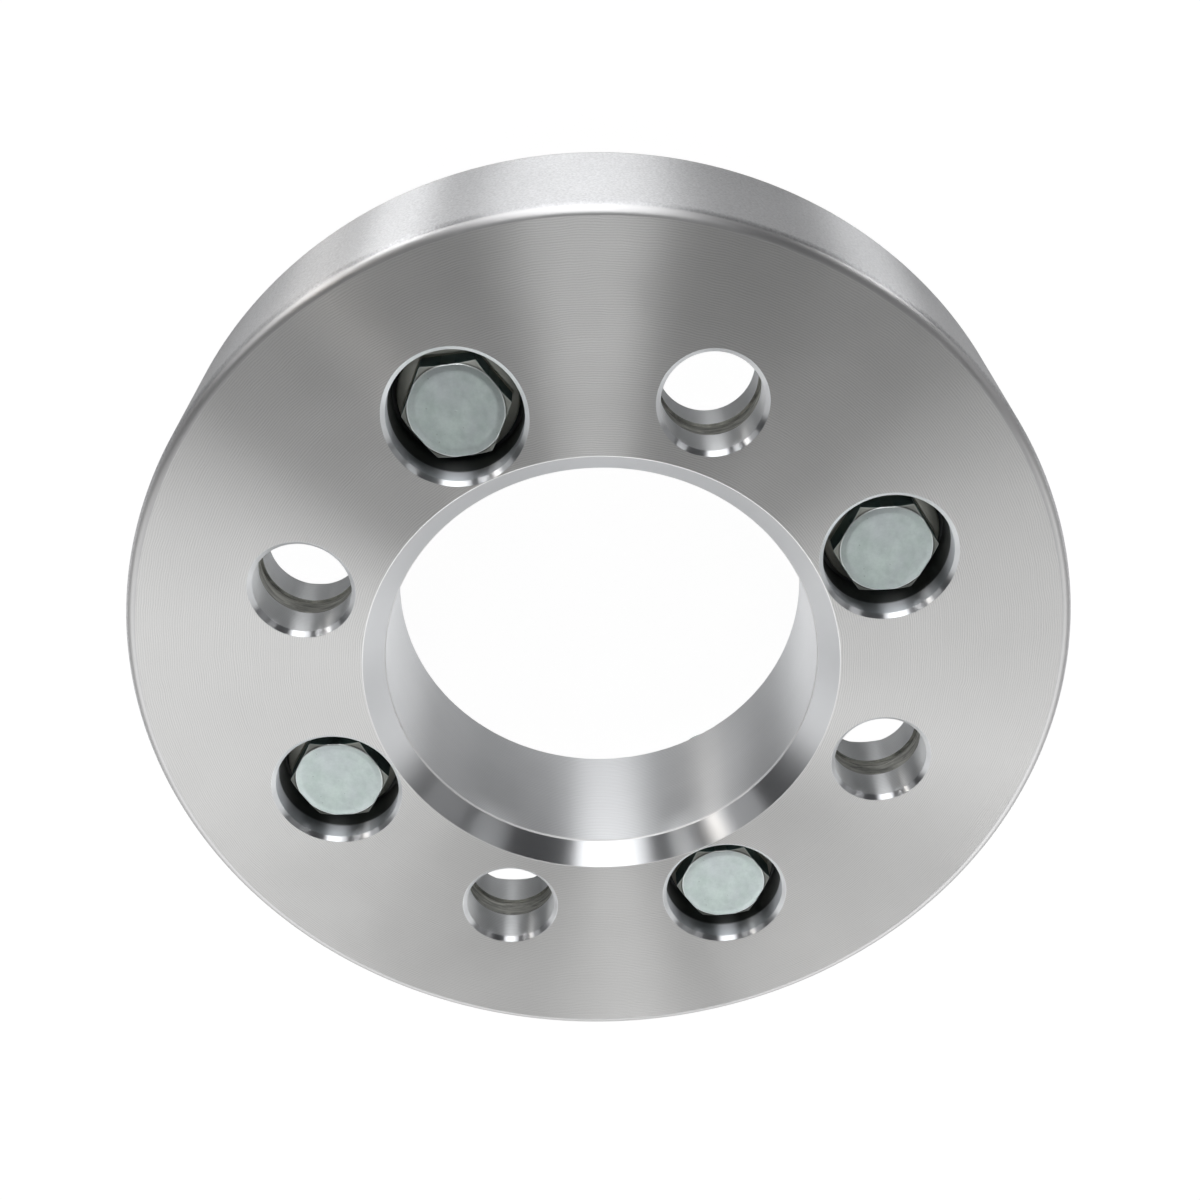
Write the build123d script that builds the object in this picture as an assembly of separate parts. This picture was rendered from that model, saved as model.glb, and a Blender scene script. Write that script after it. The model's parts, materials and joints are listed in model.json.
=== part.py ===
"""A wheel spacer: a thick aluminium ring that bolts to a hub and carries four wheel studs.

Lengths are in millimetres. +Z is up. The origin is the middle of the plane that the four stud
tips stand on, so the hub side faces up and the wheel side faces down.
"""
import os
from math import cos, radians, tan

from build123d import *

# The ring.
outer_diameter = 153.0
body_thickness = 30.0
rim_chamfer = 1.1
bore_diameter = 71.0
hub_bore_chamfer = 3.4
wheel_bore_chamfer = 0.8

# The circle that both sets of holes lie on.
bolt_circle_diameter = 100.0
stud_count = 4

# The plain holes that the hub's own studs pass through, from the hub side.
hub_hole_diameter = 15.5
hub_hole_chamfer = 0.7
hub_hole_length = 18.0
relief_start = 6.8
relief_width = 4.2
relief_cut = 0.4
seat_chamfer = 1.2

# The nut pocket that each of those holes opens into on the wheel side.
nut_pocket_diameter = 30.0
nut_pocket_offset = 2.3
nut_pocket_chamfer = 0.7

# The pocket that each wheel stud's head lies in, and the hole below it.
head_pocket_diameter = 20.7
head_pocket_chamfer = 0.65
head_pocket_depth = 10.0
stud_hole_clearance = 0.05
stud_hole_chamfer = 0.6

# The wheel studs. The shank is the part inside the ring, and its end cone leads it into its hole.
stud_diameter = 12.0
shank_diameter = 12.8
shank_reach = 0.3
stud_reach = 17.5
stud_nose_length = 4.2
stud_nose_diameter = 6.6
flange_diameter = 18.8
flange_edge_height = 1.7
flange_height = 2.4
hex_across_flats = 14.6
hex_height = 4.8
hex_top_inset = 0.15
hex_chamfer_angle = 30.0
# How far each hexagon is turned from +X, as the screwed-in studs happened to stop.
hex_turns = (36.0, 40.0, 38.0, 42.0)

# Heights that the others are measured from.
wheel_face = stud_reach
hub_face = wheel_face + body_thickness
nut_seat = hub_face - hub_hole_length
head_pocket_floor = hub_face - head_pocket_depth
bolt_circle_radius = bolt_circle_diameter / 2
# A cutting tool runs this far past the face that it enters through.
overrun = 1.0


def turned(*outline):
    """A solid turned about Z from an outline of (radius, height) points."""
    return revolve(Plane.XZ * make_face(Polyline(*outline, close=True)), Axis.Z)


def on_bolt_circle(degrees, radius=bolt_circle_radius):
    """The place on the bolt circle at an angle from +X."""
    return Rot(0, 0, degrees) * Pos(radius, 0, 0)


def ring_blank():
    """The ring before drilling, with its four turned chamfers."""
    outer = outer_diameter / 2
    bore = bore_diameter / 2
    return turned(
        (bore, wheel_face + wheel_bore_chamfer),
        (bore + wheel_bore_chamfer, wheel_face),
        (outer - rim_chamfer, wheel_face),
        (outer, wheel_face + rim_chamfer),
        (outer, hub_face - rim_chamfer),
        (outer - rim_chamfer, hub_face),
        (bore + hub_bore_chamfer, hub_face),
        (bore, hub_face - hub_bore_chamfer),
    )


def hub_hole_cutter():
    """A hub stud's hole: chamfered mouth, plain wall, relief groove, plain wall, edge at the nut seat."""
    wall = hub_hole_diameter / 2
    groove = wall + relief_cut
    groove_top = hub_face - relief_start
    groove_bottom = groove_top - relief_width
    mouth = wall + hub_hole_chamfer
    return turned(
        (0, hub_face + overrun),
        (mouth + overrun, hub_face + overrun),
        (wall, hub_face - hub_hole_chamfer),
        (wall, groove_top),
        (groove, groove_top),
        (groove, groove_bottom),
        (wall, groove_bottom),
        (wall, nut_seat + seat_chamfer),
        (wall + seat_chamfer, nut_seat),
        (wall + seat_chamfer, nut_seat - overrun),
        (0, nut_seat - overrun),
    )


def nut_pocket_cutter():
    """The flat-bottomed pocket for a nut and its socket, with a chamfered mouth on the wheel side."""
    wall = nut_pocket_diameter / 2
    mouth = wall + nut_pocket_chamfer
    return turned(
        (0, nut_seat),
        (wall, nut_seat),
        (wall, wheel_face + nut_pocket_chamfer),
        (mouth + overrun, wheel_face - overrun),
        (0, wheel_face - overrun),
    )


def stud_hole_cutter():
    """The head pocket on the hub side and the stud's hole through to the wheel side."""
    pocket = head_pocket_diameter / 2
    pocket_mouth = pocket + head_pocket_chamfer
    hole = shank_diameter / 2 + stud_hole_clearance
    hole_mouth = hole + stud_hole_chamfer
    return turned(
        (0, hub_face + overrun),
        (pocket_mouth + overrun, hub_face + overrun),
        (pocket, hub_face - head_pocket_chamfer),
        (pocket, head_pocket_floor),
        (hole, head_pocket_floor),
        (hole, wheel_face + stud_hole_chamfer),
        (hole_mouth + overrun, wheel_face - overrun),
        (0, wheel_face - overrun),
    )


def stud_angle(index):
    """The angle of a wheel stud from +X. The hub's holes lie midway between the studs."""
    return 360.0 / stud_count * index


def spacer_body():
    """The ring with its holes."""
    body = ring_blank()
    half_step = 180.0 / stud_count
    nut_pocket_radius = bolt_circle_radius + nut_pocket_offset
    for index in range(stud_count):
        body -= on_bolt_circle(stud_angle(index)) * stud_hole_cutter()
        between = stud_angle(index) + half_step
        body -= on_bolt_circle(between) * hub_hole_cutter()
        body -= on_bolt_circle(between, nut_pocket_radius) * nut_pocket_cutter()
    return body


def hex_head():
    """The hexagon, with its corners turned off at an angle down from the round top face.

    It starts inside the flange, because the flange's top slopes away under its corners.
    """
    bottom = head_pocket_floor + flange_edge_height
    top = head_pocket_floor + flange_height + hex_height
    flats = hex_across_flats / 2
    hexagon = Pos(0, 0, bottom) * extrude(RegularPolygon(flats, 6, major_radius=False), top - bottom)
    top_circle = flats - hex_top_inset
    reach = flats / cos(radians(30)) + overrun
    drop = (reach - top_circle) * tan(radians(hex_chamfer_angle))
    return hexagon & turned((0, bottom), (reach, bottom), (reach, top - drop), (top_circle, top), (0, top))


def flange_and_shank():
    """The round flange with its sloping top, the shank, and the threaded end down to its nose."""
    flange_top = head_pocket_floor + flange_height
    shank_end = wheel_face - shank_reach
    shank_cone = (shank_diameter - stud_diameter) / 2
    return turned(
        (0, flange_top),
        (hex_across_flats / 2, flange_top),
        (flange_diameter / 2, head_pocket_floor + flange_edge_height),
        (flange_diameter / 2, head_pocket_floor),
        (shank_diameter / 2, head_pocket_floor),
        (shank_diameter / 2, shank_end + shank_cone),
        (stud_diameter / 2, shank_end),
        (stud_diameter / 2, stud_nose_length),
        (stud_nose_diameter / 2, 0),
        (0, 0),
    )


def wheel_stud(index):
    """One stud in its place, with its hexagon turned as far as its list value says."""
    place = on_bolt_circle(stud_angle(index))
    turn = hex_turns[index % len(hex_turns)] - stud_angle(index)
    head = Rot(0, 0, turn) * hex_head()
    return place * (flange_and_shank() + head)


def write(name, solid):
    """Writes one sub-part to its own file."""
    export_step(solid, os.path.join("parts", name + ".step"))
    print(name, round(solid.volume, 1), "mm3")


os.makedirs("parts", exist_ok=True)
write("spacer_body", spacer_body())
for stud in range(stud_count):
    write(f"wheel_stud_{stud + 1}", wheel_stud(stud))
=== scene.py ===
import json
from math import atan, ceil, cos, pi, radians, sin, sqrt, tan

import bmesh
import bpy
import numpy as np
from mathutils import Matrix, Vector
from mathutils.geometry import tessellate_polygon

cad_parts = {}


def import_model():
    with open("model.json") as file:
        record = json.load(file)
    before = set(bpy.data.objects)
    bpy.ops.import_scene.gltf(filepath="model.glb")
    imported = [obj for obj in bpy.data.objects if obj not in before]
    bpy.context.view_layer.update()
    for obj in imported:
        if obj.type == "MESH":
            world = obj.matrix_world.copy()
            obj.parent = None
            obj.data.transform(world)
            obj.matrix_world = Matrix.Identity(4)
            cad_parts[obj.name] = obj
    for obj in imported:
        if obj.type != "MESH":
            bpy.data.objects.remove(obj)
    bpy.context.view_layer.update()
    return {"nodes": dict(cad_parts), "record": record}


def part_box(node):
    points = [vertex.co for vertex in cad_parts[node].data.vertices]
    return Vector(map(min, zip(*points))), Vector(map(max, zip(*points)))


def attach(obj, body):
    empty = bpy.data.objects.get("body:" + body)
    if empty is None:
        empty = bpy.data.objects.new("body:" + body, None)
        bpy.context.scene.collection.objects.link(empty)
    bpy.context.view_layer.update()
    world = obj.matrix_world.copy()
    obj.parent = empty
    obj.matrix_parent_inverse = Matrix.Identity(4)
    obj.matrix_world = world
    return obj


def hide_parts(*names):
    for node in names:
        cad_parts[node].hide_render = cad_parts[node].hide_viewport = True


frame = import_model()

# Lengths are in metres. The small forms below are written in millimetres times this.
MM = 0.001

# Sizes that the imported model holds.
mounts = {mount["name"]: mount for mount in frame["record"]["mounts"]}
body_low, body_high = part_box("spacer_body")
stud_low, stud_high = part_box("wheel_stud_1")
OUTER = body_high.x
HUB_FACE = body_high.z
WHEEL_FACE = body_low.z
BORE = mounts["hub_bore"]["dims"]["r_mm"] * MM
BOLT_CIRCLE = mounts["wheel_studs"]["dims"]["pcd_mm"] / 2 * MM
STUD_COUNT = mounts["wheel_studs"]["dims"]["count"]
HUB_HOLE = mounts["hub_stud_holes"]["dims"]["hole_r_mm"] * MM
STUD = mounts["wheel_studs"]["dims"]["stud_r_mm"] * MM
FLANGE = (stud_high.y - stud_low.y) / 2
HEAD_TOP = stud_high.z

# Small forms of the ring, the same as in the solids.
RIM_CHAMFER = 1.1 * MM
HUB_BORE_CHAMFER = 3.4 * MM
WHEEL_BORE_CHAMFER = 0.8 * MM
HUB_HOLE_CHAMFER = 0.7 * MM
HUB_HOLE_LENGTH = 18 * MM
RELIEF_START = 6.8 * MM
RELIEF_WIDTH = 4.2 * MM
RELIEF_CUT = 0.4 * MM
SEAT_CHAMFER = 1.2 * MM
NUT_POCKET = 15 * MM
NUT_POCKET_OFFSET = 2.3 * MM
NUT_POCKET_CHAMFER = 0.7 * MM
HEAD_POCKET = 10.35 * MM
HEAD_POCKET_CHAMFER = 0.65 * MM
HEAD_POCKET_DEPTH = 10 * MM
SHANK = 6.4 * MM
SHANK_REACH = 0.3 * MM
STUD_HOLE = SHANK + 0.05 * MM
STUD_HOLE_CHAMFER = 0.6 * MM
NUT_SEAT = HUB_FACE - HUB_HOLE_LENGTH
POCKET_FLOOR = HUB_FACE - HEAD_POCKET_DEPTH

# Small forms of the studs, the same as in the solids.
NOSE_LENGTH = 4.2 * MM
NOSE_TIP = 3.3 * MM
FLANGE_EDGE = 1.7 * MM
FLANGE_HEIGHT = 2.4 * MM
HEX_SIDES = 6
HEX_FLATS = 7.3 * MM
HEX_CHAMFER_SLOPE = tan(radians(30))
HEX_TURNS = (36, 40, 38, 42)

# The round top of a head, which is as wide as the flats here and a little narrower in the solids.
HEX_TOP_CIRCLE = HEX_FLATS

# What the solids leave out: broken edges, the heads' centre marks and crowns, and the thread.
EDGE = 0.1 * MM
SOFT_EDGE = 0.22 * MM
RIM_EDGE = 1.5 * MM
BORE_EDGE = 0.6 * MM
INNER_FILLET = 0.35 * MM
HEX_CORNER = 0.35 * MM
CENTRE_MARK = 0.3 * MM
CENTRE_MARK_DEPTH = 0.03 * MM
TOP_EDGE = 0.18 * MM
CROWN_START = 6.4 * MM
CROWN_DROP = 0.035 * MM
CROWN_ROUNDING = 8 * MM
THREAD_PITCH = 1.5 * MM
THREAD_DEPTH = 0.86 * MM
THREAD_RUNOUT = 1.2 * MM

# How finely things are divided: the steps in a rounding, and those round each full circle.
ARC_STEPS = 4
RING_STEPS = 360
POCKET_STEPS = 128
HOLE_STEPS = 112
NUT_POCKET_STEPS = 168

# Points of a mesh that are closer than this are one point.
SAME_POINT = 0.0001 * MM

# The ring's materials, in the order of its mesh's slots.
FACE, CHAMFER, RIM, BORED, POCKET, DRILLED, RELIEF, RIM_ROUND, HEAD_WALL, BORE_ROUND = range(10)

# The camera's compass direction, which the lamps are placed by too.
HEADING = radians(-22.925)

# The level direction that leads away from the camera, where the room's pale wall stands.
AWAY_FROM_CAMERA = (-sin(HEADING), cos(HEADING), 0.0)

# The lamps' colours, and how far they stand from the part.
WHITE = (1.0, 1.0, 1.0)
WARM = (1.0, 0.93, 0.84)
LAMP_DISTANCE = 0.9


class Shell:
    """The points and faces of one mesh while it is being built."""

    def __init__(self):
        self.points = []
        self.faces = []
        self.materials = []
        self.flat_normals = {}

    def add_points(self, points):
        """Adds points and returns their numbers."""
        first = len(self.points)
        self.points.extend(points)
        return list(range(first, len(self.points)))

    def add_face(self, face, material=0):
        self.faces.append(face)
        self.materials.append(material)

    def join_rings(self, near, far, material=0):
        """A strip of faces between two closed rings of points."""
        count = len(near)
        for k in range(count):
            after = (k + 1) % count
            self.add_face((near[k], far[k], far[after], near[after]), material)

    def fill_flat(self, outer, holes, up, material):
        """A flat face between an outer ring and the rings of its holes, looking up or down."""
        loops = [outer, *holes]
        numbers = [number for loop in loops for number in loop]
        outlines = [[Vector(self.points[number]) for number in loop] for loop in loops]
        for triangle in tessellate_polygon(outlines):
            a, b, c = (numbers[k] for k in triangle)
            side = (Vector(self.points[b]) - Vector(self.points[a])).cross(
                Vector(self.points[c]) - Vector(self.points[a])
            )
            self.add_face((a, b, c) if (side.z > 0) == up else (a, c, b), material)
        for number in numbers:
            self.flat_normals[number] = (0.0, 0.0, 1.0 if up else -1.0)

    def mesh(self, name):
        """The mesh, with repeated points joined and normals that large faces decide.

        The points of flat faces get normals straight up or down, where no points were joined, so
        that their numbers still hold.
        """
        smallest_length = 1e-30
        mesh = bpy.data.meshes.new(name)
        mesh.from_pydata(self.points, [], self.faces)
        mesh.polygons.foreach_set("material_index", self.materials)
        editor = bmesh.new()
        editor.from_mesh(mesh)
        bmesh.ops.remove_doubles(editor, verts=editor.verts, dist=SAME_POINT)
        editor.to_mesh(mesh)
        editor.free()
        mesh.polygons.foreach_set("use_smooth", [True] * len(mesh.polygons))
        normals = np.zeros((len(mesh.vertices), 3))
        for face in mesh.polygons:
            normals[list(face.vertices)] += np.array(face.normal) * face.area
        normals /= np.maximum(np.linalg.norm(normals, axis=1), smallest_length)[:, None]
        if len(mesh.vertices) == len(self.points):
            for number, normal in self.flat_normals.items():
                normals[number] = normal
        mesh.normals_split_custom_set_from_vertices(normals)
        mesh.validate()
        return mesh


def rounded(corners):
    """An outline's points with its corners rounded, and the material of each stretch between them.

    A corner is (radius, height, rounding, material after it), and may end with a material for the
    rounding alone. Without one the rounding gets the material after it, and the last rounding the
    one before it. The first and last corners only say where the outline comes from and goes to.
    """
    points = []
    materials = []
    for before, corner, after in zip(corners, corners[1:], corners[2:]):
        here = Vector(corner[:2])
        arriving = (here - Vector(before[:2])).normalized()
        leaving = (Vector(after[:2]) - here).normalized()
        turn = arriving.angle_signed(leaving)
        material = corner[3] if after is not corners[-1] else before[3]
        if len(corner) > 4:
            material = corner[4]
        rounding = corner[2]
        reach = rounding * tan(abs(turn) / 2)
        for step in range(ARC_STEPS + 1):
            share = step / ARC_STEPS
            start_side = Vector((-arriving.y, arriving.x))
            end_side = Vector((-leaving.y, leaving.x))
            inward = 1 if turn > 0 else -1
            centre = here - arriving * reach - start_side * rounding * inward
            blend = (
                start_side * sin((1 - share) * abs(turn)) + end_side * sin(share * abs(turn))
            ) / sin(abs(turn))
            points.append(tuple(centre + blend * rounding * inward))
            materials.append(material)
        materials[-1] = corner[3]
    return points, materials[:-1]


def turned(shell, corners, centre, steps):
    """Turns an outline about the vertical line through centre. Returns its first and last rings."""
    points, materials = rounded(corners)
    angles = [2 * pi * step / steps for step in range(steps)]
    rings = []
    for radius, height in points:
        rings.append(shell.add_points([
            (centre[0] + radius * cos(angle), centre[1] + radius * sin(angle), height)
            for angle in angles
        ]))
    for near, far, material in zip(rings, rings[1:], materials):
        shell.join_rings(near, far, material)
    return rings[0], rings[-1]


def on_bolt_circle(angle, radius=BOLT_CIRCLE):
    """The place on the bolt circle at an angle from +X."""
    return radius * cos(angle), radius * sin(angle)


def rim_outline():
    """From the hub face out, down the rim and in over the wheel face."""
    return [
        (OUTER - 2 * RIM_CHAMFER, HUB_FACE, 0, RIM_ROUND),
        (OUTER - RIM_CHAMFER, HUB_FACE, RIM_EDGE, RIM_ROUND),
        (OUTER, HUB_FACE - RIM_CHAMFER, RIM_EDGE, RIM),
        (OUTER, WHEEL_FACE + RIM_CHAMFER, RIM_EDGE, RIM_ROUND),
        (OUTER - RIM_CHAMFER, WHEEL_FACE, RIM_EDGE, RIM_ROUND),
        (OUTER - 2 * RIM_CHAMFER, WHEEL_FACE, 0, RIM_ROUND),
    ]


def bore_outline():
    """From the wheel face up the bore and out over its large chamfer to the hub face.

    The chamfer's two edges are rounded, with a finish of their own.
    """
    lower = BORE + WHEEL_BORE_CHAMFER
    upper = BORE + HUB_BORE_CHAMFER
    return [
        (lower + EDGE, WHEEL_FACE, 0, FACE),
        (lower, WHEEL_FACE, EDGE, CHAMFER),
        (BORE, WHEEL_FACE + WHEEL_BORE_CHAMFER, SOFT_EDGE, BORED),
        (BORE, HUB_FACE - HUB_BORE_CHAMFER, BORE_EDGE, CHAMFER, BORE_ROUND),
        (upper, HUB_FACE, SOFT_EDGE, FACE, BORE_ROUND),
        (upper + SOFT_EDGE, HUB_FACE, 0, FACE),
    ]


def head_pocket_outline():
    """From the wheel face up the stud's hole, out over the pocket's floor and up to the hub face."""
    lower = STUD_HOLE + STUD_HOLE_CHAMFER
    upper = HEAD_POCKET + HEAD_POCKET_CHAMFER
    return [
        (lower + EDGE, WHEEL_FACE, 0, FACE),
        (lower, WHEEL_FACE, EDGE, CHAMFER),
        (STUD_HOLE, WHEEL_FACE + STUD_HOLE_CHAMFER, EDGE, DRILLED),
        (STUD_HOLE, POCKET_FLOOR, EDGE, HEAD_WALL),
        (HEAD_POCKET, POCKET_FLOOR, INNER_FILLET, HEAD_WALL),
        (HEAD_POCKET, HUB_FACE - HEAD_POCKET_CHAMFER, EDGE, CHAMFER),
        (upper, HUB_FACE, EDGE, FACE),
        (upper + EDGE, HUB_FACE, 0, FACE),
    ]


def hub_hole_outline():
    """From the nut's seat up past the relief groove to the hub face."""
    seat = HUB_HOLE + SEAT_CHAMFER
    groove = HUB_HOLE + RELIEF_CUT
    groove_top = HUB_FACE - RELIEF_START
    groove_bottom = groove_top - RELIEF_WIDTH
    mouth = HUB_HOLE + HUB_HOLE_CHAMFER
    return [
        (seat + EDGE, NUT_SEAT, 0, POCKET),
        (seat, NUT_SEAT, EDGE, CHAMFER),
        (HUB_HOLE, NUT_SEAT + SEAT_CHAMFER, EDGE, DRILLED),
        (HUB_HOLE, groove_bottom, EDGE, RELIEF),
        (groove, groove_bottom, EDGE, RELIEF),
        (groove, groove_top, EDGE, RELIEF),
        (HUB_HOLE, groove_top, EDGE, DRILLED),
        (HUB_HOLE, HUB_FACE - HUB_HOLE_CHAMFER, EDGE, CHAMFER),
        (mouth, HUB_FACE, EDGE, FACE),
        (mouth + EDGE, HUB_FACE, 0, FACE),
    ]


def nut_pocket_outline():
    """From the wheel face up the nut pocket to its flat end."""
    mouth = NUT_POCKET + NUT_POCKET_CHAMFER
    return [
        (mouth + EDGE, WHEEL_FACE, 0, FACE),
        (mouth, WHEEL_FACE, EDGE, CHAMFER),
        (NUT_POCKET, WHEEL_FACE + NUT_POCKET_CHAMFER, EDGE, DRILLED),
        (NUT_POCKET, NUT_SEAT, INNER_FILLET, POCKET),
        (NUT_POCKET - EDGE, NUT_SEAT, 0, POCKET),
    ]


def spacer_body():
    """The ring, with the form of its solid and broken edges."""
    shell = Shell()
    hub_edge, wheel_edge = turned(shell, rim_outline(), (0, 0), RING_STEPS)
    wheel_bore, hub_bore = turned(shell, bore_outline(), (0, 0), RING_STEPS)
    hub_loops = [hub_bore]
    wheel_loops = [wheel_bore]
    for index in range(STUD_COUNT):
        angle = 2 * pi * index / STUD_COUNT
        low, high = turned(shell, head_pocket_outline(), on_bolt_circle(angle), POCKET_STEPS)
        wheel_loops.append(low)
        hub_loops.append(high)
        between = angle + pi / STUD_COUNT
        seat, high = turned(shell, hub_hole_outline(), on_bolt_circle(between), HOLE_STEPS)
        hub_loops.append(high)
        nut_place = on_bolt_circle(between, BOLT_CIRCLE + NUT_POCKET_OFFSET)
        low, inner = turned(shell, nut_pocket_outline(), nut_place, NUT_POCKET_STEPS)
        wheel_loops.append(low)
        shell.fill_flat(inner, [seat], False, POCKET)
    shell.fill_flat(hub_edge, hub_loops, True, FACE)
    shell.fill_flat(wheel_edge, wheel_loops, False, FACE)
    body = bpy.data.objects.new("turned_ring", shell.mesh("turned_ring"))
    bpy.context.scene.collection.objects.link(body)
    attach(body, "root")
    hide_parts("spacer_body")
    return body


def hexagon():
    """Angles round a head and the hexagon's radius at each, its corners rounded."""
    half_sector = pi / HEX_SIDES
    inner_flats = HEX_FLATS - HEX_CORNER
    flat_end = atan(inner_flats * tan(half_sector) / HEX_FLATS)
    corner_centre = inner_flats / cos(half_sector)
    flat_steps = 12
    corner_steps = 4
    columns = []
    for sector in range(HEX_SIDES):
        middle = 2 * half_sector * sector
        for step in range(flat_steps + 1):
            angle = flat_end * (2 * step / flat_steps - 1)
            columns.append((middle + angle, HEX_FLATS / cos(angle)))
        for step in range(1, corner_steps):
            angle = flat_end + 2 * (half_sector - flat_end) * step / corner_steps
            off = half_sector - angle
            across = corner_centre * sin(off)
            reach = corner_centre * cos(off) + sqrt(HEX_CORNER**2 - across**2)
            columns.append((middle + angle, reach))
    return columns


def head_outline(hex_radius):
    """A stud's outline in one vertical plane, from its head's centre mark down to the thread.

    The top is crowned a little, and its rim is rounded.
    """
    crown_edge = HEAD_TOP - CROWN_DROP
    top_circle = min(HEX_TOP_CIRCLE, hex_radius - TOP_EDGE)
    top_corner = crown_edge - (hex_radius - top_circle) * HEX_CHAMFER_SLOPE
    flange_slope = (FLANGE_HEIGHT - FLANGE_EDGE) / (FLANGE - HEX_FLATS)
    foot = POCKET_FLOOR + FLANGE_HEIGHT - (hex_radius - HEX_FLATS) * flange_slope
    thread_start = WHEEL_FACE - SHANK_REACH
    corners = [
        (CENTRE_MARK, HEAD_TOP, 0, 0),
        (CROWN_START, HEAD_TOP, CROWN_ROUNDING, 0),
        (top_circle, crown_edge, TOP_EDGE, 0),
        (hex_radius, top_corner, EDGE, 0),
        (hex_radius, foot, INNER_FILLET, 0),
        (FLANGE, POCKET_FLOOR + FLANGE_EDGE, INNER_FILLET, 0),
        (FLANGE, POCKET_FLOOR, SOFT_EDGE, 0),
        (SHANK, POCKET_FLOOR, EDGE, 0),
        (SHANK, thread_start + SHANK - STUD, EDGE, 0),
        (STUD, thread_start, EDGE, 0),
        (STUD, thread_start - THREAD_PITCH, 0, 0),
    ]
    points, _ = rounded(corners)
    depth_halfway = 0.6
    mark = [
        (0, HEAD_TOP - CENTRE_MARK_DEPTH),
        (CENTRE_MARK * 0.5, HEAD_TOP - CENTRE_MARK_DEPTH * depth_halfway),
        (CENTRE_MARK, HEAD_TOP),
    ]
    return mark + points


def thread_radius(angle, height, top):
    """The threaded end's radius at an angle and a height: the thread, its run-out and the nose."""
    phase = (height / THREAD_PITCH - angle / (2 * pi)) % 1
    from_crest = min(phase, 1 - phase)
    crest_half = 1 / 16
    root_start = 3 / 8
    cut = min(max((from_crest - crest_half) / (root_start - crest_half), 0), 1)
    runout = min(max((top - height) / THREAD_RUNOUT, 0), 1)
    nose = NOSE_TIP + (STUD - NOSE_TIP) * height / NOSE_LENGTH
    return min(STUD - THREAD_DEPTH * cut * runout, nose)


def floor_pitch(height):
    """The nearest whole number of pitches below a height."""
    return int(height / THREAD_PITCH) * THREAD_PITCH


def thread_columns(columns, top, bottom):
    """For each angle, the thread's points from top to bottom, in rows that follow the helix.

    Also gives how many rows one pitch has. The rows run on past both ends of the thread, where
    their points lie on its first and last heights.
    """
    # The rows' places in one pitch, at both sides of each corner of the thread's profile.
    in_one_pitch = (0.02, 0.06, 0.09, 0.35, 0.40, 0.60, 0.65, 0.91, 0.94, 0.98)
    spare_turns = 2
    last_turn = ceil((top - bottom) / THREAD_PITCH) + spare_turns
    rows = []
    for turn in range(last_turn, -spare_turns, -1):
        for place in reversed(in_one_pitch):
            rows.append(turn + place)
    found = []
    for angle, _ in columns:
        line = []
        for row in rows:
            height = (row + angle / (2 * pi)) * THREAD_PITCH + floor_pitch(bottom)
            height = min(max(height, bottom), top)
            line.append((thread_radius(angle, height, top), height))
        found.append(line)
    return found, len(in_one_pitch)


def stud_mesh():
    """A wheel stud about its own axis, with its hexagon's flats facing 0, 60 ... degrees."""
    shell = Shell()
    columns = hexagon()
    count = len(columns)
    outlines = [head_outline(radius) for _, radius in columns]
    rings = []
    for level in zip(*outlines):
        rings.append(shell.add_points([
            (radius * cos(angle), radius * sin(angle), height)
            for (angle, _), (radius, height) in zip(columns, level)
        ]))
    for near, far in zip(rings, rings[1:]):
        shell.join_rings(far, near)

    # The thread ends where the nose's cone is a little narrower than the thread's root.
    root_margin = 1.05
    thread_top = outlines[0][-1][1]
    cone_slope = (STUD - NOSE_TIP) / NOSE_LENGTH
    thread_bottom = (STUD - THREAD_DEPTH * root_margin - NOSE_TIP) / cone_slope
    thread, rows_per_pitch = thread_columns(columns, thread_top, thread_bottom)
    grid = [
        shell.add_points([(radius * cos(angle), radius * sin(angle), height) for radius, height in line])
        for (angle, _), line in zip(columns, thread)
    ]
    row_count = len(grid[0])
    for k in range(count):
        after = (k + 1) % count
        # After a full turn the helix is one pitch further on.
        lag = rows_per_pitch if after == 0 else 0
        for row in range(row_count - 1):
            right = min(max(row - lag, 0), row_count - 1)
            below = min(max(row + 1 - lag, 0), row_count - 1)
            shell.add_face((grid[k][row], grid[k][row + 1], grid[after][below], grid[after][right]))

    tip = [
        (STUD, NOSE_LENGTH, 0, 0),
        (NOSE_TIP, 0, SOFT_EDGE, 0),
        (0, 0, 0, 0),
    ]
    tip_points, _ = rounded(tip)
    tip_points = [(NOSE_TIP + cone_slope * thread_bottom, thread_bottom), *tip_points, (0, 0)]
    tip_rings = [
        shell.add_points([(radius * cos(angle), radius * sin(angle), height) for angle, _ in columns])
        for radius, height in tip_points
    ]
    for near, far in zip(tip_rings, tip_rings[1:]):
        shell.join_rings(far, near)
    return shell.mesh("wheel_stud")


def wheel_studs():
    """The four studs in their places, each turned as far as its solid is."""
    mesh = stud_mesh()
    flat_from_corner = pi / HEX_SIDES
    studs = []
    for index in range(STUD_COUNT):
        x, y = on_bolt_circle(2 * pi * index / STUD_COUNT)
        stud = bpy.data.objects.new(f"threaded_stud_{index + 1}", mesh)
        bpy.context.scene.collection.objects.link(stud)
        turn = radians(HEX_TURNS[index]) + flat_from_corner
        stud.matrix_world = Matrix.Translation((x, y, 0)) @ Matrix.Rotation(turn, 4, "Z")
        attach(stud, "root")
        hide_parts(f"wheel_stud_{index + 1}")
        studs.append(stud)
    return studs


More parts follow.
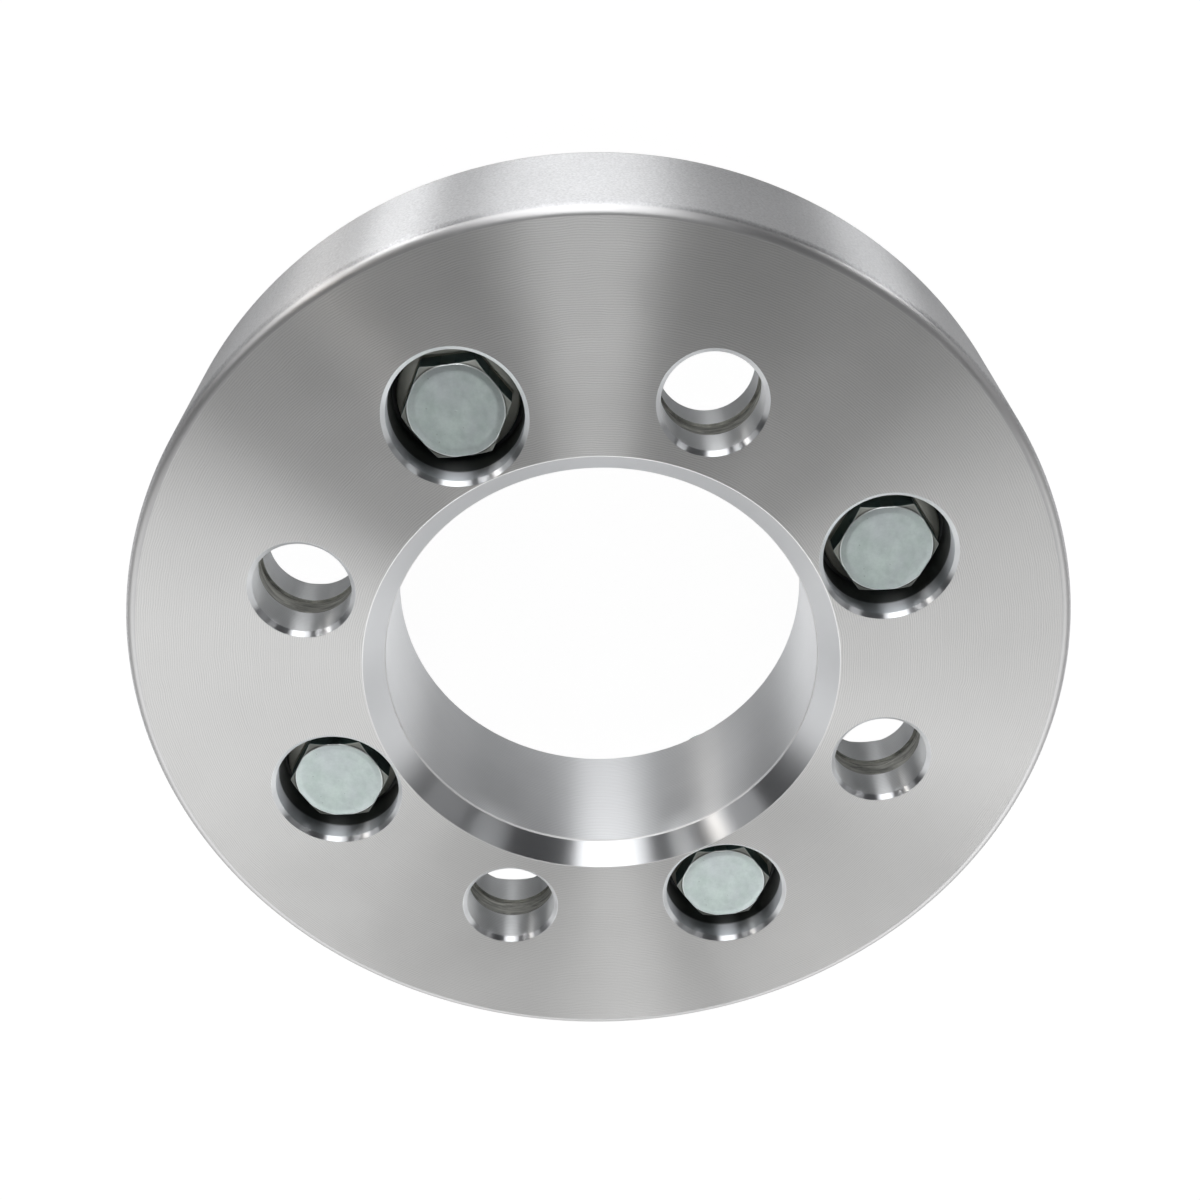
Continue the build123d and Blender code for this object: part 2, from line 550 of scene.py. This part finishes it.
class Nodes:
    """Writes one material's or the world's nodes, each in one call."""

    def __init__(self, owner):
        owner.use_nodes = True
        self.tree = owner.node_tree
        self.tree.nodes.clear()

    def add(self, kind, inputs=None, **settings):
        """A node of a kind. An input is a number, a colour or another node's output."""
        node = self.tree.nodes.new(kind)
        for name, value in settings.items():
            setattr(node, name, value)
        for name, value in (inputs or {}).items():
            socket = node.inputs[name]
            if isinstance(value, bpy.types.NodeSocket):
                self.tree.links.new(value, socket)
            else:
                socket.default_value = value
        return node

    def math(self, operation, *values):
        """The output of a Math node."""
        return self.add("ShaderNodeMath", dict(enumerate(values)), operation=operation).outputs[0]

    def product(self, first, *others):
        """Numbers multiplied, from the first on."""
        result = first
        for other in others:
            result = self.math("MULTIPLY", result, other)
        return result

    def ramp(self, value, start, end, low=0.0, high=1.0, smooth=False):
        """A number that goes from low to high while a value goes from start to end."""
        inputs = {"Value": value, "From Min": start, "From Max": end, "To Min": low, "To Max": high}
        kind = "SMOOTHSTEP" if smooth else "LINEAR"
        return self.add("ShaderNodeMapRange", inputs, interpolation_type=kind).outputs[0]

    def vector(self, operation, *values, output=0):
        """An output of a Vector Math node: 0 is its vector and 1 its number."""
        node = self.add("ShaderNodeVectorMath", dict(enumerate(values)), operation=operation)
        return node.outputs[output]

    def scaled(self, vector, factor):
        """A vector or colour times a number."""
        inputs = {0: vector, "Scale": factor}
        return self.add("ShaderNodeVectorMath", inputs, operation="SCALE").outputs[0]

    def mix(self, share, low, high):
        """A number or colour between two others.

        A Mix node has sockets for each kind of value, and those of one kind are found by number.
        """
        colours = any(
            isinstance(value, tuple) or getattr(value, "type", "") == "RGBA"
            for value in (low, high)
        )
        if colours:
            node = self.add("ShaderNodeMix", data_type="RGBA")
            sockets = (node.inputs[0], node.inputs[6], node.inputs[7])
            result = node.outputs[2]
        else:
            node = self.add("ShaderNodeMix", data_type="FLOAT")
            sockets = (node.inputs[0], node.inputs[2], node.inputs[3])
            result = node.outputs[0]
        for socket, value in zip(sockets, (share, low, high)):
            if isinstance(value, bpy.types.NodeSocket):
                self.tree.links.new(value, socket)
            else:
                socket.default_value = value
        return result

    def noise(self, vector, scale, detail=2.0, roughness=0.5):
        """A noise value from 0 to 1 at a place, scale being how many lumps a metre holds."""
        inputs = {"Vector": vector, "Scale": scale, "Detail": detail, "Roughness": roughness}
        return self.add("ShaderNodeTexNoise", inputs).outputs["Fac"]

    def place(self):
        """The place on the piece, in its own frame, in metres."""
        return self.add("ShaderNodeTexCoord").outputs["Object"]

    def coordinates(self):
        """That place's x, y and z."""
        return self.add("ShaderNodeSeparateXYZ", {0: self.place()}).outputs

    def bump(self, height):
        """The normal of a surface that a height in metres raises."""
        inputs = {"Strength": 1.0, "Distance": 1.0, "Height": height}
        return self.add("ShaderNodeBump", inputs).outputs[0]

    def metal(self, inputs):
        """Ends a material with a metal's shader."""
        shader = self.add("ShaderNodeBsdfPrincipled", {"Metallic": 1.0, **inputs})
        self.add("ShaderNodeOutputMaterial", {"Surface": shader.outputs[0]})


def spread_direction(nodes, flat):
    """The direction across the turning marks, along which they spread a reflection.

    On a turned flat face it runs out from the axis, and on a wall or chamfer up the slope.
    """
    if flat:
        x, y, _ = nodes.coordinates()
        outward = nodes.add("ShaderNodeCombineXYZ", {0: x, 1: y, 2: 0.0}).outputs[0]
        return nodes.vector("NORMALIZE", outward)
    normal = nodes.add("ShaderNodeNewGeometry").outputs["Normal"]
    around = nodes.vector("CROSS_PRODUCT", normal, (0.0, 0.0, 1.0))
    return nodes.vector("NORMALIZE", nodes.vector("CROSS_PRODUCT", around, normal))


def radius_of(nodes):
    """The distance from the axis of the ring, or of the stud."""
    x, y, _ = nodes.coordinates()
    return nodes.math("SQRT", nodes.math("ADD", nodes.product(x, x), nodes.product(y, y)))


def aluminium(name, colour, roughness, anisotropy, flat=False, pitch=0.4 * MM, groove=0.0, grain=0.0,
              grain_size=0.25 * MM, lines=0.0, sand=0.0, waves=0.0):
    """Bare machined aluminium.

    Anisotropy is how much more the turning marks spread a reflection across them than along them.
    Flat says that the surface is level, so that the marks follow one another outwards, not
    upwards. Pitch and groove are the marks' spacing and depth. Grain and grain_size are the height
    and size of the fine unevenness that the tool leaves between them. Lines and sand are how much
    the marks and the unevenness change the colour. Waves is how far the marks wander sideways.
    """
    # Slow changes in the marks: how many come in a metre, and how strong they are.
    wander_rate = 0.35 / pitch
    wander_turn = 5.0
    strength_rate = 0.08 / pitch
    patch_rate = 1 / (3 * MM)
    patch_strength = 2.0
    wave_rate = 1 / (5 * MM)

    # Slow changes in the colour and the gloss.
    cloud_rate = 45.0
    cloud_change = 0.04
    gloss_rate = 110.0
    gloss_change = 0.08

    material = bpy.data.materials.new(name)
    nodes = Nodes(material)
    place = nodes.place()
    along = radius_of(nodes) if flat else nodes.coordinates()[2]
    if waves:
        along = nodes.math("ADD", along, nodes.product(nodes.noise(place, wave_rate, 3.0), waves))
    line = nodes.add("ShaderNodeCombineXYZ", {0: along}).outputs[0]
    wander = nodes.noise(line, wander_rate)
    cycle = nodes.product(along, 2 * pi / pitch)
    wave = nodes.math("SINE", nodes.math("ADD", cycle, nodes.product(wander, wander_turn)))
    patches = nodes.product(nodes.noise(place, patch_rate), patch_strength)
    strength = nodes.product(nodes.noise(line, strength_rate, 3.0), patches)
    marks = nodes.product(wave, nodes.product(strength, groove))
    fine = nodes.noise(place, 1 / grain_size, 3.0, 0.6)
    height = nodes.math("ADD", marks, nodes.product(fine, grain))

    dark = tuple(c * (1 - cloud_change) for c in colour)
    light = tuple(min(1.0, c * (1 + cloud_change)) for c in colour)
    shade = nodes.mix(nodes.noise(place, cloud_rate, 4.0, 0.6), (*dark, 1.0), (*light, 1.0))
    marked = nodes.product(wave, strength, lines)
    sanded = nodes.product(nodes.math("SUBTRACT", fine, 0.5), sand)
    change = nodes.math("ADD", 1.0, nodes.math("ADD", marked, sanded))
    rougher = roughness * (1 + gloss_change)
    smoother = roughness * (1 - gloss_change)
    nodes.metal({
        "Base Color": nodes.scaled(shade, change),
        "Roughness": nodes.mix(nodes.noise(place, gloss_rate, 3.0), smoother, rougher),
        "Anisotropic": anisotropy,
        "Tangent": spread_direction(nodes, flat),
        "Normal": nodes.bump(height),
    })
    return material


def hexagon_distance(nodes):
    """How far out a place on a stud is, square to the nearest of its hexagon's flats."""
    flat_angles = (0, pi / 3, 2 * pi / 3)
    across = [
        nodes.math("ABSOLUTE", nodes.vector(
            "DOT_PRODUCT", nodes.place(), (cos(angle), sin(angle), 0.0), output=1,
        ))
        for angle in flat_angles
    ]
    return nodes.math("MAXIMUM", nodes.math("MAXIMUM", across[0], across[1]), across[2])


def plating_colour(nodes, place, rings, mottle, fine):
    """The plating's own colour: patches from a green grey to a blue grey, and small specks."""
    dark_green = (0.57, 0.67, 0.64, 1.0)
    pale_green = (0.725, 0.825, 0.795, 1.0)
    dark_blue = (0.6, 0.66, 0.67, 1.0)
    pale_blue = (0.745, 0.805, 0.82, 1.0)
    ring_grey = (0.5, 0.58, 0.565, 1.0)
    grain_grey = (0.45, 0.53, 0.52, 1.0)
    speck_grey = (0.2, 0.22, 0.22, 1.0)
    ring_share = 0.3
    grain_share = 0.16
    speck_share = 0.3
    speck_radius = 0.08
    noise_low = 0.35
    noise_high = 0.65
    cast = nodes.noise(place, 1 / (6.0 * MM), 3.0, 0.6)
    patches = nodes.ramp(mottle, noise_low, noise_high)
    towards_blue = nodes.ramp(cast, noise_low, noise_high)
    green = nodes.mix(patches, dark_green, pale_green)
    blue = nodes.mix(patches, dark_blue, pale_blue)
    colour = nodes.mix(towards_blue, green, blue)
    colour = nodes.mix(nodes.product(rings, ring_share), colour, ring_grey)
    colour = nodes.mix(nodes.product(fine, grain_share), colour, grain_grey)
    speck_cells = nodes.add("ShaderNodeTexVoronoi", {"Vector": place, "Scale": 1 / (1.5 * MM)})
    specks = nodes.math("LESS_THAN", speck_cells.outputs["Distance"], speck_radius)
    return nodes.mix(nodes.product(specks, speck_share), colour, speck_grey)


def head_colour(nodes, colour, ring, rise, outside):
    """The colours that a head has on top of its plating: flange, corners with a painted shadow line,
    flats painted dark as shade, and edges lightened as painted highlights.
    """
    flange_plating = (0.85, 0.84, 0.74, 1.0)
    corner_shadow_line = (0.06, 0.065, 0.06, 1.0)
    corner_pale = (0.42, 0.43, 0.39, 1.0)
    hexagon_edge_highlight = (0.74, 0.78, 0.74, 1.0)
    flats_painted_shade = (0.14, 0.24, 0.23, 1.0)
    top_edge_highlight = (0.9, 0.93, 0.92, 1.0)

    # The flange and the foot of the hexagon.
    foot = HEAD_TOP - 4.2 * MM
    low_down = nodes.ramp(rise, foot, HEAD_TOP - 3.4 * MM, 0.9, 0.0)
    on_head = nodes.math("GREATER_THAN", rise, POCKET_FLOOR - 0.1 * MM)
    colour = nodes.mix(nodes.product(low_down, on_head), colour, flange_plating)

    # The corners that are turned off round the top: a painted shadow line beside the top, grading to
    # their paler colour further out.
    near_top = nodes.math("GREATER_THAN", rise, HEAD_TOP - 1.5 * MM)
    corner = nodes.ramp(ring, HEX_TOP_CIRCLE + 0.12 * MM, HEX_TOP_CIRCLE + 0.4 * MM)
    corner_colour = nodes.mix(corner, corner_shadow_line, corner_pale)
    colour = nodes.mix(nodes.product(outside, near_top), colour, corner_colour)

    # The top's edges along the flats, lightened as a painted highlight, and the flats themselves,
    # painted dark as shade.
    across_flats = hexagon_distance(nodes)
    hex_edge = nodes.ramp(across_flats, HEX_FLATS - 0.28 * MM, HEX_FLATS - 0.1 * MM, 0.0, 0.3)
    # Painted highlight along the top's edges over the flats.
    colour = nodes.mix(nodes.product(hex_edge, near_top), colour, hexagon_edge_highlight)
    # Painted shade: the flats are painted a dark green-black for the pocket's shade on them.
    on_flats = nodes.math("GREATER_THAN", across_flats, HEX_FLATS - 0.03 * MM)
    above_flange = nodes.math("GREATER_THAN", rise, foot)
    within_corners = nodes.math("LESS_THAN", ring, FLANGE - 0.9 * MM)
    flat_share = nodes.product(on_flats, above_flange, 0.8, within_corners)
    colour = nodes.mix(flat_share, colour, flats_painted_shade)

    # The top's round edge, lightened as a painted highlight.
    off_edge = nodes.math("ABSOLUTE", nodes.math("SUBTRACT", ring, HEX_TOP_CIRCLE))
    near_edge = nodes.ramp(off_edge, 0.04 * MM, 0.16 * MM, 0.7, 0.0)
    on_top = nodes.math("GREATER_THAN", rise, HEAD_TOP - 0.4 * MM)
    return nodes.mix(nodes.product(near_edge, on_top), colour, top_edge_highlight)


def zinc():
    """Zinc-plated steel: pale grey-green, with faint turning rings, mottling and small specks.

    A head's top is smoother in a ring along its edge, where it has been rubbed.
    """
    ring_depth = 0.006 * MM
    grain_depth = 0.002 * MM
    rubbed_start = 5.9 * MM
    rubbed_end = 6.5 * MM
    rubbed_roughness = 0.36
    corner_roughness = 0.5
    smooth_patch = 0.4
    rough_patch = 0.5
    material = bpy.data.materials.new("zinc_plate")
    nodes = Nodes(material)
    place = nodes.place()
    ring = radius_of(nodes)
    rise = nodes.coordinates()[2]
    line = nodes.add("ShaderNodeCombineXYZ", {0: ring}).outputs[0]
    rings = nodes.noise(line, 1 / (0.45 * MM))
    mottle = nodes.noise(place, 1 / (2.6 * MM), 6.0, 0.7)
    fine = nodes.noise(place, 1 / (0.3 * MM), 3.0, 0.6)
    outside = nodes.math("GREATER_THAN", ring, HEX_TOP_CIRCLE + 0.08 * MM)
    colour = plating_colour(nodes, place, rings, mottle, fine)
    height = nodes.math("ADD", nodes.product(rings, ring_depth), nodes.product(fine, grain_depth))
    rubbed = nodes.ramp(ring, rubbed_start, rubbed_end)
    mottled_roughness = nodes.mix(mottle, smooth_patch, rough_patch)
    top_roughness = nodes.mix(rubbed, mottled_roughness, rubbed_roughness)
    nodes.metal({
        "Base Color": head_colour(nodes, colour, ring, rise, outside),
        "Roughness": nodes.mix(outside, top_roughness, corner_roughness),
        "Normal": nodes.bump(height),
    })
    return material


def relief_groove():
    """The relief grooves: a coarse cut with streaks that wind round the hole."""
    lumps_per_metre = (220.0, 220.0, 1300.0)
    streak_depth = 0.06 * MM
    dark_streak = (0.24, 0.24, 0.225, 1.0)
    pale_streak = (0.74, 0.74, 0.69, 1.0)
    material = bpy.data.materials.new("relief_groove")
    nodes = Nodes(material)
    stretched = nodes.vector("MULTIPLY", nodes.place(), lumps_per_metre)
    streaks = nodes.add("ShaderNodeTexNoise", {
        "Vector": stretched, "Scale": 1.0, "Detail": 4.0, "Roughness": 0.6, "Distortion": 0.8,
    }).outputs["Fac"]
    contrast = nodes.ramp(streaks, 0.3, 0.7)
    nodes.metal({
        "Base Color": nodes.mix(contrast, dark_streak, pale_streak),
        "Roughness": 0.5,
        "Normal": nodes.bump(nodes.product(streaks, streak_depth)),
    })
    return material


def pocket_wall():
    """The head pockets: turned near the mouth, and painted dark further down as painted shade."""
    full_shade_top = HUB_FACE - 4.3 * MM
    unshaded_start = HUB_FACE - 3.6 * MM
    deep_shade = (0.13, 0.135, 0.135, 1.0)
    mouth_metal = (0.68, 0.7, 0.735, 1.0)
    material = bpy.data.materials.new("head_pocket")
    nodes = Nodes(material)
    # Painted shade: the wall's colour darkens from the mouth down into the pocket.
    unshaded = nodes.ramp(nodes.coordinates()[2], full_shade_top, unshaded_start, smooth=True)
    nodes.metal({
        "Base Color": nodes.mix(unshaded, deep_shade, mouth_metal),
        "Roughness": 0.4,
        "Anisotropic": 1.0,
        "Tangent": spread_direction(nodes, flat=False),
    })
    return material


def ring_materials():
    """The ring's materials by slot."""
    return {
        FACE: aluminium(
            "turned_face", (0.76, 0.76, 0.755), 0.32, 1.0, flat=True, pitch=0.36 * MM,
            groove=0.006 * MM, grain=0.003 * MM, lines=0.14, sand=0.12, waves=0.9 * MM,
        ),
        CHAMFER: aluminium("turned_chamfer", (0.745, 0.757, 0.775), 0.3, 1.0),
        RIM: aluminium(
            "turned_rim", (0.75, 0.755, 0.768), 0.42, 1.0, pitch=0.3 * MM, groove=0.001 * MM,
            grain=0.008 * MM, grain_size=0.4 * MM, sand=0.7,
        ),
        BORED: aluminium(
            "bored_wall", (0.87, 0.88, 0.895), 0.5, 1.0, pitch=0.45 * MM, groove=0.0006 * MM,
            lines=0.12,
        ),
        # Painted shade: the pockets get a much darker aluminium than the rest of the ring.
        POCKET: aluminium(
            "milled_pocket_painted_shade", (0.45, 0.46, 0.46), 0.32, 0.8, pitch=0.2 * MM, groove=0.0004 * MM,
        ),
        DRILLED: aluminium(
            "drilled_wall", (0.88, 0.893, 0.905), 0.4, 1.0, groove=0.0005 * MM, lines=0.15,
        ),
        RELIEF: relief_groove(),
        # Painted shade: the rim's roundings get a darker aluminium than the rim, which dims their
        # highlight.
        RIM_ROUND: aluminium("rim_round", (0.64, 0.64, 0.645), 0.38, 0.7),
        HEAD_WALL: pocket_wall(),
        BORE_ROUND: aluminium("bore_edge", (0.95, 0.95, 0.955), 0.5, 0.3),
    }


def dress(body, studs):
    """Gives the pieces their materials, and the solids that they stand for too."""
    by_slot = ring_materials()
    for number in sorted(by_slot):
        body.data.materials.append(by_slot[number])
    plate = zinc()
    for stud in studs:
        if not stud.data.materials:
            stud.data.materials.append(plate)
    for name, node in frame["nodes"].items():
        finish = by_slot[FACE] if name == "spacer_body" else plate
        for slot in node.material_slots:
            slot.material = finish


def camera():
    """The photograph's camera: above the hub face, with the picture's top towards its own side."""
    sensor = 36.0
    picture = 1200
    focal_pixels = 1621.06
    optical_centre = (630, 720)
    distance = 269.0 * MM
    elevation = radians(57.388)
    roll = radians(180 - 2.853)
    aim = Vector((-0.58 * MM, 9.33 * MM, HUB_FACE))
    back = Vector((sin(HEADING) * cos(elevation), -cos(HEADING) * cos(elevation), sin(elevation)))
    data = bpy.data.cameras.new("camera")
    data.sensor_width = sensor
    data.lens = focal_pixels / picture * sensor
    data.shift_x = (picture / 2 - optical_centre[0]) / picture
    data.shift_y = (optical_centre[1] - picture / 2) / picture
    data.clip_start = 0.01
    data.clip_end = 20
    eye = bpy.data.objects.new("camera", data)
    bpy.context.scene.collection.objects.link(eye)
    upright = (-back).to_track_quat("-Z", "Y").to_matrix()
    turned_over = upright @ Matrix.Rotation(roll, 3, "Z")
    eye.matrix_world = Matrix.Translation(aim + back * distance) @ turned_over.to_4x4()
    bpy.context.scene.camera = eye


def lamp(name, turn, elevation, width, height, brightness, colour=WHITE):
    """A soft box that faces the part.

    Turn is its compass direction from the camera's, positive towards the picture's right side.
    Width and height are in degrees as the part sees them. A brightness of 1 is white.
    """
    bearing = HEADING - pi / 2 - radians(turn)
    rise = radians(elevation)
    outward = Vector((cos(bearing) * cos(rise), sin(bearing) * cos(rise), sin(rise)))
    data = bpy.data.lights.new(name, "AREA")
    data.shape = "RECTANGLE"
    data.size = 2 * LAMP_DISTANCE * tan(radians(width / 2))
    data.size_y = 2 * LAMP_DISTANCE * tan(radians(height / 2))
    data.energy = brightness * pi * data.size * data.size_y
    data.color = colour
    box = bpy.data.objects.new(name, data)
    bpy.context.scene.collection.objects.link(box)
    facing = outward.to_track_quat("Z", "Y").to_matrix().to_4x4()
    box.matrix_world = Matrix.Translation(outward * LAMP_DISTANCE) @ facing


def lights():
    """The soft boxes: three in a column on the camera's side with smaller ones and two thin lines
    beside it, and wide dim ones high on the far side with a small bright one between them.
    """
    lamp("main_top", 1, 55, 16, 14, 4.2)
    lamp("main_middle", 0, 38, 25, 20, 1.5)
    lamp("main_low", -1, 12, 30, 32, 2.45)
    lamp("left_low", -30, 5, 11, 10, 12.0)
    lamp("left_edge", -46, 17, 9, 22, 2.5)
    lamp("left_line_1", -31, 33, 1.2, 26, 1.2, colour=WARM)
    lamp("left_line_2", -47, 33, 1.8, 30, 6.0, colour=WARM)
    lamp("left_strip", -58, 24, 16, 18, 1.2)
    lamp("right_low", 50, 5, 14, 9, 7.0)
    lamp("right_strip", 72, 22, 16, 18, 0.6)
    lamp("right_top", 68, 56, 10, 16, 0.4)
    lamp("far_left", -136, 52, 36, 26, 0.8)
    lamp("far_left_middle", -168, 40, 12, 18, 0.5)
    lamp("far_right_side", 133, 55, 22, 24, 0.6)
    lamp("far_right", 155, 40, 30, 18, 0.9)
    lamp("far_low", 180, 40, 5, 5, 3.2)


def world():
    """A dark room with a pale wall on the side away from the camera, plain white to the camera.

    The wall spans half the room and fades out upwards. Towards the horizon it is narrower and
    dimmer, and it is brighter on both sides of its middle.
    """
    dark_room = (0.042, 0.042, 0.044, 1.0)
    pale_wall = (1.4, 1.395, 1.38, 1.0)
    plain_brightness = 1.02
    side_brightness = 0.36
    low_brightness = 0.5
    nodes = Nodes(bpy.data.worlds.new("studio"))
    bpy.context.scene.world = bpy.data.worlds["studio"]
    direction = nodes.add("ShaderNodeTexCoord").outputs["Generated"]
    x, y, rise = nodes.add("ShaderNodeSeparateXYZ", {0: direction}).outputs
    level = nodes.add("ShaderNodeCombineXYZ", {0: x, 1: y, 2: 0.0}).outputs[0]
    facing = nodes.vector("NORMALIZE", level)
    depth = nodes.vector("DOT_PRODUCT", facing, AWAY_FROM_CAMERA, output=1)

    wide = nodes.ramp(depth, -0.1, 0.2, smooth=True)
    narrow = nodes.ramp(depth, 0.5, 0.8, smooth=True)
    middle = nodes.ramp(depth, 0.985, 0.9995, smooth=True)
    off_horizon = nodes.ramp(rise, sin(radians(8)), sin(radians(22)), smooth=True)
    near_top = nodes.ramp(rise, sin(radians(26)), sin(radians(60)), smooth=True)
    near_horizon = nodes.math("SUBTRACT", 1.0, off_horizon)
    below_top = nodes.math("SUBTRACT", 1.0, near_top)

    upper = nodes.product(wide, nodes.product(off_horizon, below_top))
    lower = nodes.product(narrow, near_horizon, low_brightness)
    beside_middle = nodes.math("SUBTRACT", narrow, middle)
    across = nodes.math("MULTIPLY_ADD", beside_middle, side_brightness, plain_brightness)
    wall_share = nodes.product(nodes.math("ADD", upper, lower), across)
    room = nodes.mix(wall_share, dark_room, pale_wall)
    seen = nodes.add("ShaderNodeLightPath").outputs["Is Camera Ray"]
    colour = nodes.mix(seen, room, (1.0, 1.0, 1.0, 1.0))
    background = nodes.add("ShaderNodeBackground", {"Color": colour, "Strength": 1.0})
    nodes.add("ShaderNodeOutputWorld", {"Surface": background.outputs[0]})


def floor():
    """A plain white floor, which keeps a little of the part's shadow.

    In reflections the floor glows a little far off, glows more under the bore as painted light, and is
    painted dark under the ring as a painted shadow.
    """
    half = 3.0
    white = (1.0, 1.0, 1.0, 1.0)
    white_strength = 1.12
    camera_share = 0.85
    matt_pale = (0.8, 0.8, 0.8, 1.0)
    painted_shadow_grey = (0.1, 0.1, 0.1, 1.0)
    corners = [(-half, -half, 0), (half, -half, 0), (half, half, 0), (-half, half, 0)]
    mesh = bpy.data.meshes.new("floor")
    mesh.from_pydata(corners, [], [(0, 1, 2, 3)])
    plane = bpy.data.objects.new("floor", mesh)
    bpy.context.scene.collection.objects.link(plane)
    material = bpy.data.materials.new("floor")
    nodes = Nodes(material)
    rays = nodes.add("ShaderNodeLightPath").outputs
    radius = radius_of(nodes)
    # Painted shadow: in reflections the floor's colour darkens under the ring.
    under_ring = nodes.ramp(radius, 66 * MM, 80 * MM, 0.7, 0.0)
    painted_shadow_share = nodes.product(rays["Is Glossy Ray"], under_ring)
    matt_colour = nodes.mix(painted_shadow_share, matt_pale, painted_shadow_grey)
    matt = nodes.add("ShaderNodeBsdfDiffuse", {"Color": matt_colour})
    glowing = nodes.add("ShaderNodeEmission", {"Color": white, "Strength": white_strength})
    # Painted light: in reflections the floor glows under the bore.
    under_bore = nodes.ramp(radius, 20 * MM, 62 * MM, 0.65, 0.05)
    far_off = nodes.ramp(radius, 180 * MM, 700 * MM, 0.0, 0.12)
    glow = nodes.product(rays["Is Glossy Ray"], nodes.math("ADD", under_bore, far_off))
    clear_rays = nodes.math("MAXIMUM", rays["Is Camera Ray"], rays["Is Transmission Ray"])
    seen = nodes.math("MAXIMUM", nodes.product(clear_rays, camera_share), glow)
    mixed = nodes.add("ShaderNodeMixShader", {0: seen, 1: matt.outputs[0], 2: glowing.outputs[0]})
    nodes.add("ShaderNodeOutputMaterial", {"Surface": mixed.outputs[0]})
    mesh.materials.append(material)


camera()
lights()
world()
floor()
ring = spacer_body()
dress(ring, wheel_studs())
bpy.context.scene.view_settings.view_transform = "Standard"
